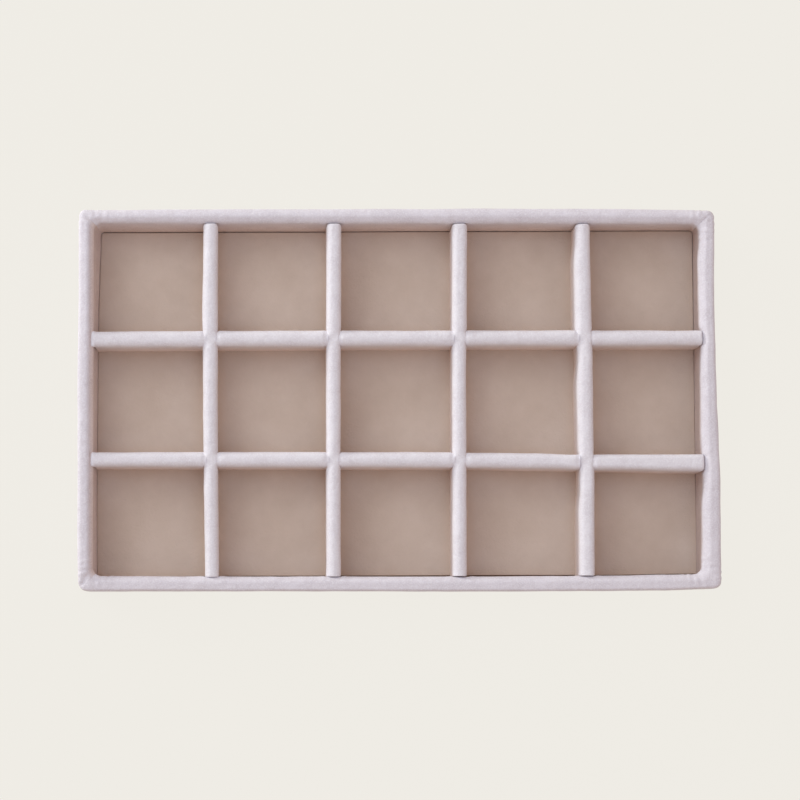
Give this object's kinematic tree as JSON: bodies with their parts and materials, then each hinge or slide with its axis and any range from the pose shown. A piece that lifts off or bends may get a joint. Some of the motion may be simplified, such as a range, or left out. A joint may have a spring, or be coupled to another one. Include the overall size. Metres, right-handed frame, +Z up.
{
  "type": "jewelry display tray",
  "caption": "Shallow rectangular velvet-covered tray with a grid of small square open compartments for rings, earrings and other jewelry.",
  "frame": {"origin": "centre of the underside, on the surface that the tray stands on", "axes": "+X along the tray's long side, +Y from the front wall to the back wall, +Z up out of the compartments"},
  "size_m": [0.3, 0.18, 0.03],
  "materials": {
    "velvet": "short-pile velvet, pale off-white with a lilac cast",
    "lining": "suede-like lining, warm tan, matte",
    "board": "raw medium-density fibreboard, matte",
    "card": "grey-brown card, matte",
    "backing": "thin felt-like backing, matte"
  },
  "bodies": {
    "root": {"back_wall_board": "board", "front_wall_board": "board", "left_wall_board": "board", "right_wall_board": "board", "back_wall_velvet": "velvet", "front_wall_velvet": "velvet", "left_wall_velvet": "velvet", "right_wall_velvet": "velvet", "base_board": "board", "floor_card": "card", "floor_lining": "lining", "underside_sheet": "backing", "long_divider_board_1": "board", "long_divider_board_2": "board", "long_divider_velvet_1": "velvet", "long_divider_velvet_2": "velvet", "short_divider_board_1": "board", "short_divider_board_2": "board", "short_divider_board_3": "board", "short_divider_board_4": "board", "short_divider_velvet_1": "velvet", "short_divider_velvet_2": "velvet", "short_divider_velvet_3": "velvet", "short_divider_velvet_4": "velvet"}
  },
  "joints": []
}
